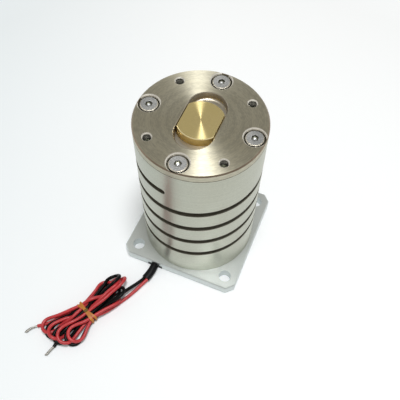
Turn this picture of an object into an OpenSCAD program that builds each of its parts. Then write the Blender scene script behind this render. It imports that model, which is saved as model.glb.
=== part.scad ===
// Voice coil motor with a helically slotted spring body, a square base plate and two flying leads.
// Millimetres, +Z up, origin at the centre of the base plate's underside.

/* [Spring body] */
// Outside diameter of the spring body and the top plate
body_d = 40; // [39:0.5:48]
// Height from the underside of the base plate to the top face
overall_h = 63.5; // [62:0.5:75]
// Wall of the sprung length
spring_wall = 2.6; // [1.8:0.1:3.2]
// Width of the helical slot
slot_w = 2.1; // [1.5:0.1:3]
// Turns of the helical slot
slot_turns = 4.5; // [3:0.25:4.5]
// Angle of the slot's upper end, about Z from +X
slot_start = -102; // [-180:1:180]
// Depth of the slot's upper end below the top face
slot_top = 12.5; // [11:0.1:13]
// Height of the slot's lower end above the base plate
slot_bottom = 8.3; // [8:0.1:10]
// Thickness of the closed upper end
end_wall_t = 6; // [5:0.5:7]
// Wall of the lower collar, which takes the body screws
collar_wall = 3.8; // [3.4:0.1:4.2]
// Height of the lower collar
collar_h = 4.8; // [4:0.1:5.2]

/* [Base plate] */
// Width of the square base plate
plate_w = 43; // [43:0.5:55]
// Thickness of the base plate
plate_t = 4; // [4:0.1:4.6]
// Leg of the plate's corner cuts
plate_corner = 2.5; // [1:0.1:3]
// Bevel along the plate's edges
plate_bevel = 0.3; // [0.1:0.05:0.6]
// Distance of the mounting holes from the plate's sides
mount_inset = 4.5; // [4.3:0.1:5]
// Diameter of the mounting holes
mount_hole_d = 4.3; // [3.2:0.1:4.4]

/* [Top plate] */
// Thickness of the top plate
top_t = 2.5; // [2.3:0.1:4]
// Chamfer round the top plate's rim
rim_chamfer = 0.35; // [0.1:0.05:0.5]
// Chamfer of the hairline seam under the top plate
seam_chamfer = 0.12; // [0.05:0.01:0.3]
// Distance of the cap screws and load holes from the rim
screw_inset = 3.5; // [3.5:0.1:4]
// Length of the guide slot past each side of the post
slot_end_room = 3.75; // [2:0.05:4]
// Chamfer round the mouth of the guide slot
slot_lip = 0.2; // [0.1:0.05:0.4]
// Clearance at each flat of the post
flat_gap = 0.25; // [0.1:0.05:0.4]
// Diameter of the tapped load holes
load_hole_d = 2.5; // [2:0.1:3]
// Countersink round each load hole
load_hole_sink = 0.35; // [0.1:0.05:0.5]

/* [Guide post] */
// Depth of each of the post's two flats
post_flat_cut = 1.55; // [1:0.05:2]
// Chamfer round the post's top
post_chamfer = 0.3; // [0.1:0.05:0.5]
// Thickness of the post's foot
post_foot_h = 3; // [2:0.1:4]
// Diameter of the spigot under the foot
post_spigot_d = 8; // [7:0.1:10]
// Length of the spigot under the foot
post_spigot_h = 1; // [0.6:0.1:1.2]
// Reach of the flats below the top plate at the upper limit
flats_reach = 1.5; // [0.5:0.1:2.5]

/* [Motion] */
// Travel of the moving half each way from rest
stroke = 2; // [0.5:0.1:2.2]
// Height of the stop ring
stop_h = 3.8; // [2:0.1:5]
// Air left between the moving half and the stop ring at the lower limit
stop_gap = 0.2; // [0.1:0.05:0.5]
// Radial clearance of the guide bushes on the post
run_gap = 0.05; // [0.02:0.01:0.1]

/* [Magnet circuit] */
// Clearance between the field yoke and the lower collar
yoke_gap = 0.3; // [0.2:0.05:0.5]
// Wall of the field yoke
yoke_wall = 2; // [1.6:0.1:2.2]
// Thickness of the field yoke's end
yoke_end_t = 4; // [3.5:0.1:5]
// Room under the field yoke at the lower limit
yoke_room = 10; // [6:0.5:12]
// Radial thickness of the ring magnets
magnet_t = 2.1; // [1.8:0.1:2.2]
// Length of each ring magnet past each end of its winding
magnet_over = 0.5; // [0.2:0.1:1]
// Length of the retainer under the magnets
retainer_l = 1.5; // [1:0.1:2.5]
// Depth of the retainer inside the field yoke
retainer_depth = 4.4; // [2:0.1:5]
// Air gap on each side of the coil
air_gap = 0.4; // [0.3:0.05:0.45]
// Thickness of the inner pole's head
pole_head_t = 1.5; // [1:0.1:2]
// Overhang of the inner pole's head
pole_head_lip = 1.1; // [0.6:0.1:1.5]
// Wall of the inner pole
pole_wall = 1.65; // [1.4:0.05:2.5]
// Clearance between the inner pole and the post
pole_gap = 0.45; // [0.3:0.05:0.5]

/* [Coil] */
// Radial depth of the windings
winding_t = 1.05; // [0.9:0.05:1.1]
// Length of former between the two windings
winding_space = 4; // [3:0.1:5]
// Wall of the coil former
former_wall = 0.5; // [0.4:0.05:0.55]
// Thickness of the former's flange
former_flange_t = 3; // [2.5:0.1:4]
// Thickness of the former's outer ribs
former_rib = 0.6; // [0.4:0.1:1]
// Air left over the former at the lower limit
former_head_gap = 1; // [0.5:0.1:2]

/* [Guide bushes] */
// Wall of the upper bush
bush_wall = 1.5; // [1:0.1:2]
// Thickness of the bush flanges
bush_flange_t = 1; // [0.6:0.1:1.5]
// Reach of the upper bush's flange past each end of the guide slot
flange_over = 0.6; // [0.5:0.1:1]
// Length of the lower bush inside the inner pole
bush_lower_l = 8; // [5:0.5:12]
// Wall of the inner pole round the lower bush
bush_seat_wall = 0.7; // [0.5:0.05:0.8]
// Chamfer at the bushes' mouths
bush_chamfer = 0.4; // [0.2:0.05:0.5]

/* [Screws] */
// Thread of the cap screws
cap_thread_d = 3; // [2.5:0.5:3]
// Diameter of the cap screws' heads
cap_head_d = 6; // [5.4:0.1:6.2]
// Height of the cap screws' heads
cap_head_h = 1.4; // [1.2:0.1:1.5]
// Depth of the heads below the top face
cap_recess = 0.35; // [0.1:0.05:0.5]
// Counterbore clearance round the cap screws' heads
cap_clear = 0.25; // [0.2:0.05:0.3]
// Length of the cap screws below their heads
cap_length = 6; // [4:0.5:6]
// Width across the cap screws' hex sockets
cap_socket = 2; // [1.5:0.1:2.5]
// Chamfer at the mouth of the cap screws' counterbores
cap_lip = 0.1; // [0.05:0.05:0.2]
// Thread of the small screws
small_thread_d = 2; // [1.6:0.1:2.2]
// Diameter of the small screws' heads
small_head_d = 3.8; // [3.4:0.1:4]
// Height of the small screws' heads
small_head_h = 1.6; // [1.2:0.1:1.8]
// Depth of the small heads below their faces
small_recess = 0.3; // [0.1:0.05:0.5]
// Width across the small screws' hex sockets
small_socket = 1.5; // [1.2:0.1:1.6]
// Edge chamfer of the socket screws
screw_edge = 0.25; // [0.1:0.05:0.3]
// Share of a head's height that its socket takes
socket_share = 0.6; // [0.4:0.05:0.7]
// Thread of the post screw
post_thread_d = 4; // [4:0.5:5]
// Diameter of the post screw's countersunk head
post_screw_head_d = 8; // [7.6:0.1:8.4]
// Length of the post screw
post_screw_l = 12; // [10:0.5:16]
// Width across the post screw's hex socket
post_socket = 2.5; // [2:0.1:2.5]
// Depth of the post screw's hex socket
post_socket_depth = 1.8; // [1.5:0.1:2]
// Distance of the former screws from the flange's edge
former_screw_inset = 3.3; // [3:0.1:3.6]
// Distance of the yoke screws from the yoke's outside
yoke_screw_inset = 1.9; // [1.9:0.1:2.1]
// Clearance between a screw and its hole
thread_gap = 0.05; // [0.02:0.01:0.1]
// Room left past a screw's end
end_room = 0.5; // [0.3:0.1:0.8]
// Clearance of bonded and pressed rings
bond_gap = 0.05; // [0.02:0.01:0.1]

/* [Leads] */
// Outside diameter of each lead
lead_d = 1.2; // [1:0.1:1.3]
// Diameter of the leads' stripped ends
tip_d = 0.9; // [0.8:0.1:1]
// Outside diameter of the sleeve over both leads
sleeve_d = 2.8; // [2.4:0.1:2.8]
// Place of the lead exit along X
exit_x = -8.6; // [-9:0.1:-8]
// Width of the groove at the lead exit
groove_w = 5.6; // [4.5:0.1:6]
// Height of the groove at the lead exit
groove_h = 1.8; // [1.4:0.1:2]
// Length of the grommet in the groove
grommet_l = 6; // [4:0.5:7]
// Height of the tied hank of leads
hank_h = 3.7; // [3:0.1:5]
// Width of the tie round the hank
tie_w = 1; // [0.8:0.1:2]
// Thickness of the tie
tie_t = 0.3; // [0.2:0.1:0.5]

/* [Hidden] */
$fn = 96;
eps = 0.01;

// Heights that several pieces share
body_top_z = overall_h - top_t;
end_wall_z = body_top_z - end_wall_t;
collar_top_z = plate_t + collar_h;
slot_top_z = overall_h - slot_top;
slot_pitch = (slot_top_z - plate_t - slot_bottom) / slot_turns;
yoke_in_z = end_wall_z - yoke_end_t;
yoke_bottom_z = plate_t + former_flange_t + stroke + yoke_room;
stop_bottom_z = plate_t + post_foot_h;
stop_top_z = stop_bottom_z + stop_h;
bush_bottom_z = stop_top_z + stop_gap + stroke;
pole_bottom_z = bush_bottom_z + bush_flange_t;
former_top_z = yoke_in_z - stroke - former_head_gap;
magnet_lower_z = yoke_bottom_z + retainer_depth + retainer_l;
coil_lower_z = magnet_lower_z + magnet_over;
winding_l = (former_top_z - former_rib - winding_space - coil_lower_z) / 2;
magnet_l = winding_l + 2 * magnet_over;
coil_upper_z = coil_lower_z + winding_l + winding_space;
magnet_upper_z = coil_upper_z - magnet_over;
flats_z = body_top_z - stroke - flats_reach;

// Radii, from the outside of the body inwards
body_r = body_d / 2;
spring_in_r = body_r - spring_wall;
collar_in_r = body_r - collar_wall;
yoke_r = collar_in_r - yoke_gap;
yoke_in_r = yoke_r - yoke_wall;
magnet_r = yoke_in_r - bond_gap;
magnet_in_r = magnet_r - magnet_t;
winding_r = magnet_in_r - air_gap;
winding_in_r = winding_r - winding_t;
former_r = winding_in_r - bond_gap;
former_in_r = former_r - former_wall;
pole_r = former_in_r - air_gap;
pole_in_r = pole_r - pole_wall;
post_r = pole_in_r - pole_gap;
post_d = 2 * post_r;
post_flats = post_d - 2 * post_flat_cut;
guide_slot_l = post_d + 2 * slot_end_room;
bush_flange_d = guide_slot_l + 2 * flange_over;
bush_in_r = post_r + run_gap;
bush_upper_r = bush_in_r + bush_wall;
bush_lower_r = pole_r - bush_seat_wall;
foot_r = former_in_r - air_gap;
former_flange_r = collar_in_r - yoke_gap;

// Screw places
screw_circle_r = body_d / 2 - screw_inset;
mount_spacing = plate_w - 2 * mount_inset;
body_screw_r = body_r - collar_wall / 2;
former_screw_r = former_flange_r - former_screw_inset;
yoke_screw_r = yoke_r - yoke_screw_inset;
body_screw_l = plate_t - small_head_h - small_recess + collar_h - 2 * end_room;
former_screw_l = plate_t - small_head_h - small_recess + former_flange_t - end_room;
yoke_screw_z = body_top_z - small_head_h - small_recess;
yoke_screw_l = yoke_screw_z - yoke_in_z - end_room;
small_head_clear = 0.2;
hole_clear = 0.1;
cap_bore_depth = cap_head_h + cap_recess;
relief_depth = 4;
post_drill_room = 2;
former_screw_angles = [30, 150, 270];
body_screw_angles = [0, 90, 180, 270];
cap_screw_angles = [0, 90, 180, 270];
load_hole_angles = [45, 135, 225, 315];
yoke_screw_angles = [22.5, 112.5, 202.5, 292.5];

// Lead exit
sleeve_r = sleeve_d / 2;
sleeve_lift = 0.2;
sleeve_z = sleeve_r + sleeve_lift;
exit_y = -plate_w / 2;
lead_hole_inset = 3.45;
lead_hole_y = -sqrt(pow(former_flange_r - lead_hole_inset, 2) - exit_x * exit_x);
lead_hole = [exit_x, lead_hole_y];
lead_hole_d = 4;
fit_gap = 0.05;
tail_d = 0.8;
tail_offset = 0.6;
tail_gap = 0.1;
tail_lead_in = 4;
tail_turn = 1.4;
tail_lift = 0.3;

// Points along the sleeve, the leads, the stripped ends and the coil's tails
sleeve_bend = [[-8.6, -23, sleeve_z], [-8.8, -25, sleeve_z], [-9.4, -27.8, sleeve_z]];
red_in = [[-8.65, -27.5, 1.5], [-9.8, -30.3, 1.1], [-11.3, -34.1, 0.8], [-12.6, -36.9, 0.8],
  [-14, -39.3, 0.9], [-15.6, -42.6, 1.1], [-17.2, -44.8, 1.4]];
black_in = [[-10, -27.6, 1.7], [-11.3, -31.3, 2], [-12.8, -33.6, 2.3], [-14, -35.6, 2.5],
  [-15.2, -37.8, 2.4]];
red_out = [[-33.4, -55.7, 0.8], [-34.6, -56.6, 0.75], [-35.5, -57.3, 0.7], [-36.4, -58, 0.7]];
black_out = [[-27.2, -59.4, 0.65], [-27.4, -60.8, 0.65], [-27.6, -62.2, 0.65]];
red_end = [[-36.4, -58, 0.7], [-37.6, -59.1, 0.85], [-38.5, -60.3, 0.85], [-39, -61.4, 0.6]];
black_end = [[-27.6, -62.2, 0.65], [-28.1, -63.8, 0.65], [-28.6, -65.6, 0.6]];
// The hank's outline, as circles of [x, y, radius], and the line of the tie across it
hank_upper = [[-17.9, -32.8, 2.6], [-18.4, -38.4, 4.6], [-22.6, -47.5, 3.6]];
hank_lower = [[-22.6, -47.5, 3.6], [-32, -56.9, 2.8], [-27.35, -57.9, 3], [-22.3, -56.1, 3]];
tie_place = [-22.6, -47.5];
tie_turn = -20;
tie_span = 8.2;

// Stations along the helical slot with its round ends, as [turns from the upper end, half width]
slot_overcut = 0.6;
slot_end_turn = slot_w / 2 / (2 * PI * body_r);
steps_per_turn = 36;
slot_steps = ceil(slot_turns * steps_per_turn);
slot_stations = concat(
  [for (a = [10:20:70]) [-cos(a) * slot_end_turn, sin(a) * slot_w / 2]],
  [for (i = [0:slot_steps]) [slot_turns * i / slot_steps, slot_w / 2]],
  [for (a = [70:-20:10]) [slot_turns + cos(a) * slot_end_turn, sin(a) * slot_w / 2]]
);

// Unit vector along v
function unit(v) = v / norm(v);
// Direction of path p at its point i
function heading(p, i) = unit(p[min(i + 1, len(p) - 1)] - p[max(i - 1, 0)]);
// Corner k of the ring at point i of a swept tube
function ring_point(p, i, r, n, ref, k) =
  let (t = heading(p, i), side = unit(cross(t, ref)), up = cross(side, t), a = 360 * (k + 0.5) / n)
  p[i] + r * (cos(a) * side + sin(a) * up);

// A closed tube of n sides swept along the points of p
module tube_along(p, d, ref = [0, 0, 1], n = 8) {
  rings = len(p);
  points = [for (i = [0:rings - 1], k = [0:n - 1]) ring_point(p, i, d / 2, n, ref, k)];
  walls = [
    for (i = [0:rings - 2], k = [0:n - 1], half = [0, 1])
      let (a = i * n + k, b = i * n + (k + 1) % n)
      half == 0 ? [a, b, a + n] : [b, b + n, a + n]
  ];
  first = [for (k = [n - 1:-1:0]) k];
  last = [for (k = [0:n - 1]) (rings - 1) * n + k];
  polyhedron(points = points, faces = concat(walls, [first, last]), convexity = 6);
}

// A tube of rings about Z, from r_in to r_out and from z0 to z1
module ring(r_in, r_out, z0, z1) {
  rotate_extrude() translate([r_in, z0]) square([r_out - r_in, z1 - z0]);
}

// Copies of the children at each angle on a circle of radius r
module around(r, angles) {
  for (a = angles) rotate([0, 0, a]) translate([r, 0, 0]) children();
}

// A vertical bore from z0 to z1
module bore(d, z0, z1) {
  translate([0, 0, z0]) cylinder(d = d, h = z1 - z0);
}

// A socket screw whose head stands on z = 0 and whose thread points down
module socket_screw(thread_d, length, head_d, head_h, socket) {
  edge = screw_edge;
  socket_depth = head_h * socket_share;
  difference() {
    rotate_extrude()
      polygon([
        [0, -length], [thread_d / 2 - edge, -length], [thread_d / 2, edge - length], [thread_d / 2, 0],
        [head_d / 2, 0], [head_d / 2, head_h - edge], [head_d / 2 - edge, head_h], [0, head_h]
      ]);
    translate([0, 0, head_h - socket_depth])
      cylinder(d = socket / cos(30), h = socket_depth + eps, $fn = 6);
  }
}

// The hole for a small screw that enters the plate from below
module small_screw_hole() {
  bore(small_thread_d + 2 * hole_clear, -eps, plate_t + eps);
  bore(small_head_d + 2 * small_head_clear, -eps, small_head_h + small_recess);
}

// A bevelled bar through the plate's outline: half width h, from below to above the plate
module plate_bar(h, turn) {
  rotate([0, 0, turn])
    rotate([90, 0, 0])
      linear_extrude(height = 2 * plate_w, center = true)
        polygon([
          [plate_bevel - h, 0], [h - plate_bevel, 0], [h, plate_bevel], [h, plate_t - plate_bevel],
          [h - plate_bevel, plate_t], [plate_bevel - h, plate_t],
          [-h, plate_t - plate_bevel], [-h, plate_bevel]
        ]);
}

// The helical slot's cutter: a ribbon from inside the wall to outside the body
module slot_cutter() {
  r0 = spring_in_r - slot_overcut;
  r1 = body_r + slot_overcut;
  last = len(slot_stations) - 1;
  function corner(s, r, side) =
    let (a = slot_start - 360 * s[0])
    [r * cos(a), r * sin(a), slot_top_z - slot_pitch * s[0] + side * s[1]];
  points = [
    for (s = slot_stations)
      for (c = [[r0, -1], [r1, -1], [r1, 1], [r0, 1]]) corner(s, c[0], c[1])
  ];
  walls = [
    for (i = [0:last - 1], k = [0:3], half = [0, 1])
      let (a = 4 * i + k, b = 4 * i + (k + 1) % 4)
      half == 0 ? [a, a + 4, b] : [b, a + 4, b + 4]
  ];
  ends = [[0, 1, 2, 3], [for (k = [3:-1:0]) 4 * last + k]];
  polyhedron(points = points, faces = concat(walls, ends), convexity = 10);
}

module base_plate() {
  color("gainsboro")
    difference() {
      intersection() {
        plate_bar(plate_w / 2, 0);
        plate_bar(plate_w / 2, 90);
        plate_bar((plate_w - plate_corner) / sqrt(2), 45);
        plate_bar((plate_w - plate_corner) / sqrt(2), 135);
      }
      for (x = [-1, 1], y = [-1, 1])
        translate([x, y, 0] * mount_spacing / 2) bore(mount_hole_d, -eps, plate_t + eps);
      around(body_screw_r, body_screw_angles) small_screw_hole();
      around(former_screw_r, former_screw_angles) small_screw_hole();
      bore(post_spigot_d + 2 * fit_gap, plate_t - post_spigot_h, plate_t + eps);
      bore(post_thread_d + 2 * hole_clear, -eps, plate_t);
      post_screw_cone(fit_gap);
      translate(lead_hole) bore(lead_hole_d, groove_h / 2, plate_t + eps);
      translate([exit_x - groove_w / 2, exit_y - eps, -eps])
        cube([groove_w, lead_hole_y - exit_y, groove_h + eps]);
      sleeve_bore(exit_y - eps, lead_hole_y - exit_y);
    }
}

// The round channel for the sleeve, from y0 along +Y
module sleeve_bore(y0, length) {
  translate([exit_x, y0, sleeve_z])
    rotate([-90, 0, 0]) cylinder(r = sleeve_r + fit_gap, h = length);
}

// The post screw's countersunk head, grown by gap
module post_screw_cone(gap) {
  top_r = post_thread_d / 2 + gap;
  low_r = post_screw_head_d / 2 + gap;
  rotate_extrude()
    polygon([[0, -gap], [low_r, -gap], [low_r, small_recess], [top_r, small_recess + low_r - top_r],
      [0, small_recess + low_r - top_r]]);
}

module body_screws() {
  color("dimgray")
    around(body_screw_r, body_screw_angles)
      translate([0, 0, small_head_h + small_recess]) rotate([180, 0, 0])
        socket_screw(small_thread_d, body_screw_l, small_head_d, small_head_h, small_socket);
}

module former_screws() {
  color("dimgray")
    around(former_screw_r, former_screw_angles)
      translate([0, 0, small_head_h + small_recess]) rotate([180, 0, 0])
        socket_screw(small_thread_d, former_screw_l, small_head_d, small_head_h, small_socket);
}

module guide_post() {
  color("goldenrod")
    difference() {
      rotate_extrude()
        polygon([
          [0, plate_t - post_spigot_h], [post_spigot_d / 2, plate_t - post_spigot_h],
          [post_spigot_d / 2, plate_t], [foot_r, plate_t],
          [foot_r, plate_t + post_foot_h], [post_r, plate_t + post_foot_h],
          [post_r, overall_h - post_chamfer], [post_r - post_chamfer, overall_h], [0, overall_h]
        ]);
      for (side = [-1, 1])
        translate([side * (post_flats + post_d) / 2, 0, (flats_z + overall_h + 1) / 2])
          cube([post_d, 2 * post_d, overall_h + 1 - flats_z], center = true);
      bore(post_thread_d + 2 * thread_gap, plate_t - post_spigot_h - eps, post_screw_l + post_drill_room);
    }
}

module post_screw() {
  color("dimgray")
    difference() {
      union() {
        post_screw_cone(0);
        bore(post_thread_d, 0, post_screw_l);
      }
      translate([0, 0, -eps]) cylinder(d = post_socket / cos(30), h = post_socket_depth + eps, $fn = 6);
    }
}

module stop_ring() {
  color("black") ring(bush_in_r, foot_r, stop_bottom_z, stop_top_z);
}

module coil_former() {
  rib_z = coil_upper_z - winding_space;
  color("silver")
    difference() {
      union() {
        ring(former_in_r, former_r, plate_t, former_top_z);
        ring(former_in_r, former_flange_r, plate_t, plate_t + former_flange_t);
        ring(former_in_r, winding_r, former_top_z - former_rib, former_top_z);
        ring(former_in_r, winding_r, rib_z, coil_upper_z);
        ring(former_in_r, winding_r, coil_lower_z - former_rib, coil_lower_z);
      }
      around(former_screw_r, former_screw_angles)
        bore(small_thread_d + 2 * thread_gap, plate_t - eps, plate_t + former_flange_t + eps);
      translate(lead_hole) bore(lead_hole_d, plate_t - eps, plate_t + former_flange_t + eps);
    }
}

module coil_upper() {
  color("chocolate") ring(winding_in_r, winding_r, coil_upper_z, coil_upper_z + winding_l);
}

module coil_lower() {
  color("chocolate") ring(winding_in_r, winding_r, coil_lower_z, coil_lower_z + winding_l);
}

// Two fine wires from the lower winding down through the flange and along the groove to the sleeve
module coil_tails() {
  toward = unit(lead_hole);
  start_r = former_r + tail_d / 2 + tail_gap;
  across = [-toward[1], toward[0]];
  sleeve_in_y = exit_y + grommet_l;
  color("chocolate")
    for (side = [-1, 1]) {
      shift = side * tail_offset;
      top = start_r * toward + shift * across;
      low = lead_hole + shift * across;
      tube_along([
        [top[0], top[1], coil_lower_z - former_rib],
        [top[0], top[1], plate_t + former_flange_t + tail_lead_in],
        [low[0], low[1], plate_t + former_flange_t],
        [low[0], low[1], 2 * plate_t / 3],
        [exit_x + shift, lead_hole_y - tail_turn, sleeve_z + tail_lift],
        [exit_x + shift, sleeve_in_y, sleeve_z]
      ], tail_d, [1, 0, 0]);
    }
}

module spring_body() {
  seam = seam_chamfer;
  color("silver")
    difference() {
      rotate_extrude()
        polygon([
          [collar_in_r, plate_t], [body_r - seam, plate_t], [body_r, plate_t + seam],
          [body_r, body_top_z - seam], [body_r - seam, body_top_z],
          [bush_flange_d / 2 + fit_gap, body_top_z],
          [bush_flange_d / 2 + fit_gap, body_top_z - bush_flange_t],
          [bush_upper_r + fit_gap, body_top_z - bush_flange_t], [bush_upper_r + fit_gap, end_wall_z],
          [spring_in_r, end_wall_z], [spring_in_r, collar_top_z], [collar_in_r, collar_top_z]
        ]);
      slot_cutter();
      around(screw_circle_r, cap_screw_angles)
        bore(cap_thread_d + 2 * thread_gap, end_wall_z - eps, body_top_z + eps);
      around(screw_circle_r, load_hole_angles)
        bore(load_hole_d, body_top_z - relief_depth, body_top_z + eps);
      around(yoke_screw_r, yoke_screw_angles) {
        bore(small_thread_d + 2 * hole_clear, end_wall_z - eps, body_top_z + eps);
        bore(small_head_d + 2 * small_head_clear, yoke_screw_z, body_top_z + eps);
      }
      around(body_screw_r, body_screw_angles)
        bore(small_thread_d + 2 * thread_gap, plate_t - eps, collar_top_z - end_room);
    }
}

module top_plate() {
  slot_r = post_flats / 2 + flat_gap;
  slot_half = guide_slot_l / 2 - slot_r;
  bore_r = cap_head_d / 2 + cap_clear;
  lip = cap_lip;
  color("silver")
    difference() {
      rotate_extrude()
        polygon([
          [0, body_top_z], [body_r - seam_chamfer, body_top_z], [body_r, body_top_z + seam_chamfer],
          [body_r, overall_h - rim_chamfer], [body_r - rim_chamfer, overall_h], [0, overall_h]
        ]);
      for (side = [-1, 1])
        translate([0, side * slot_half, body_top_z - eps]) cylinder(r = slot_r, h = top_t + 2 * eps);
      translate([-slot_r, -slot_half, body_top_z - eps]) cube([2 * slot_r, 2 * slot_half, top_t + 2 * eps]);
      slot_mouth(slot_r, slot_half);
      around(screw_circle_r, cap_screw_angles) {
        bore(cap_thread_d + 2 * hole_clear, body_top_z - eps, overall_h + eps);
        bore(2 * bore_r, overall_h - cap_bore_depth, overall_h + eps);
        translate([0, 0, overall_h - lip]) cylinder(r1 = bore_r, r2 = bore_r + lip, h = lip + eps);
      }
      around(screw_circle_r, load_hole_angles) {
        bore(load_hole_d, body_top_z - eps, overall_h + eps);
        translate([0, 0, overall_h - load_hole_sink])
          cylinder(d1 = load_hole_d, d2 = load_hole_d + 2 * load_hole_sink, h = load_hole_sink + eps);
      }
    }
}

// The chamfer round the mouth of the guide slot: a cone at each end and a wedge between them
module slot_mouth(r, half) {
  wide = r + slot_lip + eps;
  for (side = [-1, 1])
    translate([0, side * half, overall_h - slot_lip]) cylinder(r1 = r, r2 = wide, h = slot_lip + eps);
  translate([0, half, overall_h - slot_lip])
    rotate([90, 0, 0])
      linear_extrude(height = 2 * half)
        polygon([[-r, 0], [r, 0], [wide, slot_lip + eps], [-wide, slot_lip + eps]]);
}

module cap_screws() {
  color("lightslategray")
    around(screw_circle_r, cap_screw_angles)
      translate([0, 0, overall_h - cap_bore_depth])
        socket_screw(cap_thread_d, cap_length, cap_head_d, cap_head_h, cap_socket);
}

module guide_bush_upper() {
  color("silver")
    rotate_extrude()
      polygon([
        [bush_in_r, end_wall_z + bush_chamfer], [bush_in_r + bush_chamfer, end_wall_z],
        [bush_upper_r, end_wall_z],
        [bush_upper_r, body_top_z - bush_flange_t], [bush_flange_d / 2, body_top_z - bush_flange_t],
        [bush_flange_d / 2, body_top_z], [bush_in_r + bush_chamfer, body_top_z],
        [bush_in_r, body_top_z - bush_chamfer]
      ]);
}

module guide_bush_lower() {
  color("silver")
    rotate_extrude()
      polygon([
        [bush_in_r, bush_bottom_z], [pole_r, bush_bottom_z], [pole_r, pole_bottom_z],
        [bush_lower_r, pole_bottom_z], [bush_lower_r, pole_bottom_z + bush_lower_l],
        [bush_in_r, pole_bottom_z + bush_lower_l]
      ]);
}

module field_yoke() {
  head_r = pole_r + pole_head_lip + bond_gap;
  color("silver")
    difference() {
      rotate_extrude()
        polygon([
          [yoke_in_r, yoke_bottom_z], [yoke_r, yoke_bottom_z], [yoke_r, end_wall_z], [head_r, end_wall_z],
          [head_r, end_wall_z - pole_head_t], [pole_r + bond_gap, end_wall_z - pole_head_t],
          [pole_r + bond_gap, yoke_in_z], [yoke_in_r, yoke_in_z]
        ]);
      around(yoke_screw_r, yoke_screw_angles)
        bore(small_thread_d + 2 * thread_gap, yoke_in_z - eps, end_wall_z + eps);
    }
}

module yoke_screws() {
  color("dimgray")
    around(yoke_screw_r, yoke_screw_angles)
      translate([0, 0, yoke_screw_z])
        socket_screw(small_thread_d, yoke_screw_l, small_head_d, small_head_h, small_socket);
}

module magnet_ring_upper() {
  color("slategray") ring(magnet_in_r, magnet_r, magnet_upper_z, magnet_upper_z + magnet_l);
}

module magnet_ring_lower() {
  color("slategray") ring(magnet_in_r, magnet_r, magnet_lower_z, magnet_lower_z + magnet_l);
}

module magnet_spacer_upper() {
  color("lightgray") ring(magnet_in_r, magnet_r, magnet_upper_z + magnet_l, yoke_in_z);
}

module magnet_spacer_middle() {
  color("lightgray") ring(magnet_in_r, magnet_r, magnet_lower_z + magnet_l, magnet_upper_z);
}

module magnet_retainer() {
  color("lightgray") ring(magnet_in_r, magnet_r, magnet_lower_z - retainer_l, magnet_lower_z);
}

module inner_pole() {
  seat_r = bush_lower_r + bond_gap;
  color("silver")
    rotate_extrude()
      polygon([
        [seat_r, pole_bottom_z], [pole_r, pole_bottom_z], [pole_r, end_wall_z - pole_head_t],
        [pole_r + pole_head_lip, end_wall_z - pole_head_t], [pole_r + pole_head_lip, end_wall_z],
        [pole_in_r, end_wall_z], [pole_in_r, pole_bottom_z + bush_lower_l],
        [seat_r, pole_bottom_z + bush_lower_l]
      ]);
}

module lead_grommet() {
  color("black")
    difference() {
      translate([exit_x - groove_w / 2 + fit_gap, exit_y, 0])
        cube([groove_w - 2 * fit_gap, grommet_l, groove_h - fit_gap]);
      sleeve_bore(exit_y - eps, grommet_l + 2 * eps);
    }
}

module lead_sleeve() {
  straight = [[exit_x, exit_y + grommet_l, sleeve_z], [exit_x, exit_y, sleeve_z]];
  color("black") tube_along(concat(straight, sleeve_bend), sleeve_d);
}

module red_lead() {
  color("crimson") {
    tube_along(red_in, lead_d);
    tube_along(red_out, lead_d);
  }
}

module black_lead() {
  color("black") {
    tube_along(black_in, lead_d);
    tube_along(black_out, lead_d);
  }
}

module lead_hank() {
  color("crimson")
    translate([0, 0, tie_t])
      linear_extrude(height = hank_h)
        for (part = [hank_upper, hank_lower])
          hull()
            for (c = part) translate([c[0], c[1]]) circle(r = c[2], $fn = 32);
}

module hank_tie() {
  color("orange")
    translate([tie_place[0], tie_place[1], 0])
      rotate([0, 0, tie_turn])
        difference() {
          translate([-tie_span / 2 - tie_t, -tie_w / 2, 0])
            cube([tie_span + 2 * tie_t, tie_w, hank_h + 2 * tie_t]);
          translate([-tie_span / 2, -tie_w / 2 - eps, tie_t])
            cube([tie_span, tie_w + 2 * eps, hank_h]);
        }
}

module red_lead_tip() {
  color("lightgray") tube_along(red_end, tip_d);
}

module black_lead_tip() {
  color("lightgray") tube_along(black_end, tip_d);
}

base_plate();
body_screws();
guide_post();
post_screw();
stop_ring();
coil_former();
former_screws();
coil_upper();
coil_lower();
coil_tails();
spring_body();
lead_grommet();
lead_sleeve();
red_lead();
black_lead();
lead_hank();
hank_tie();
red_lead_tip();
black_lead_tip();
top_plate();
cap_screws();
guide_bush_upper();
guide_bush_lower();
field_yoke();
yoke_screws();
magnet_ring_upper();
magnet_ring_lower();
magnet_spacer_upper();
magnet_spacer_middle();
magnet_retainer();
inner_pole();
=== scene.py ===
"""Looks of a voice coil motor: slotted spring body, turned top, brass guide post, plate and two leads."""

import math

import bmesh
import bpy
import numpy
from mathutils import Matrix, Vector


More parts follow.
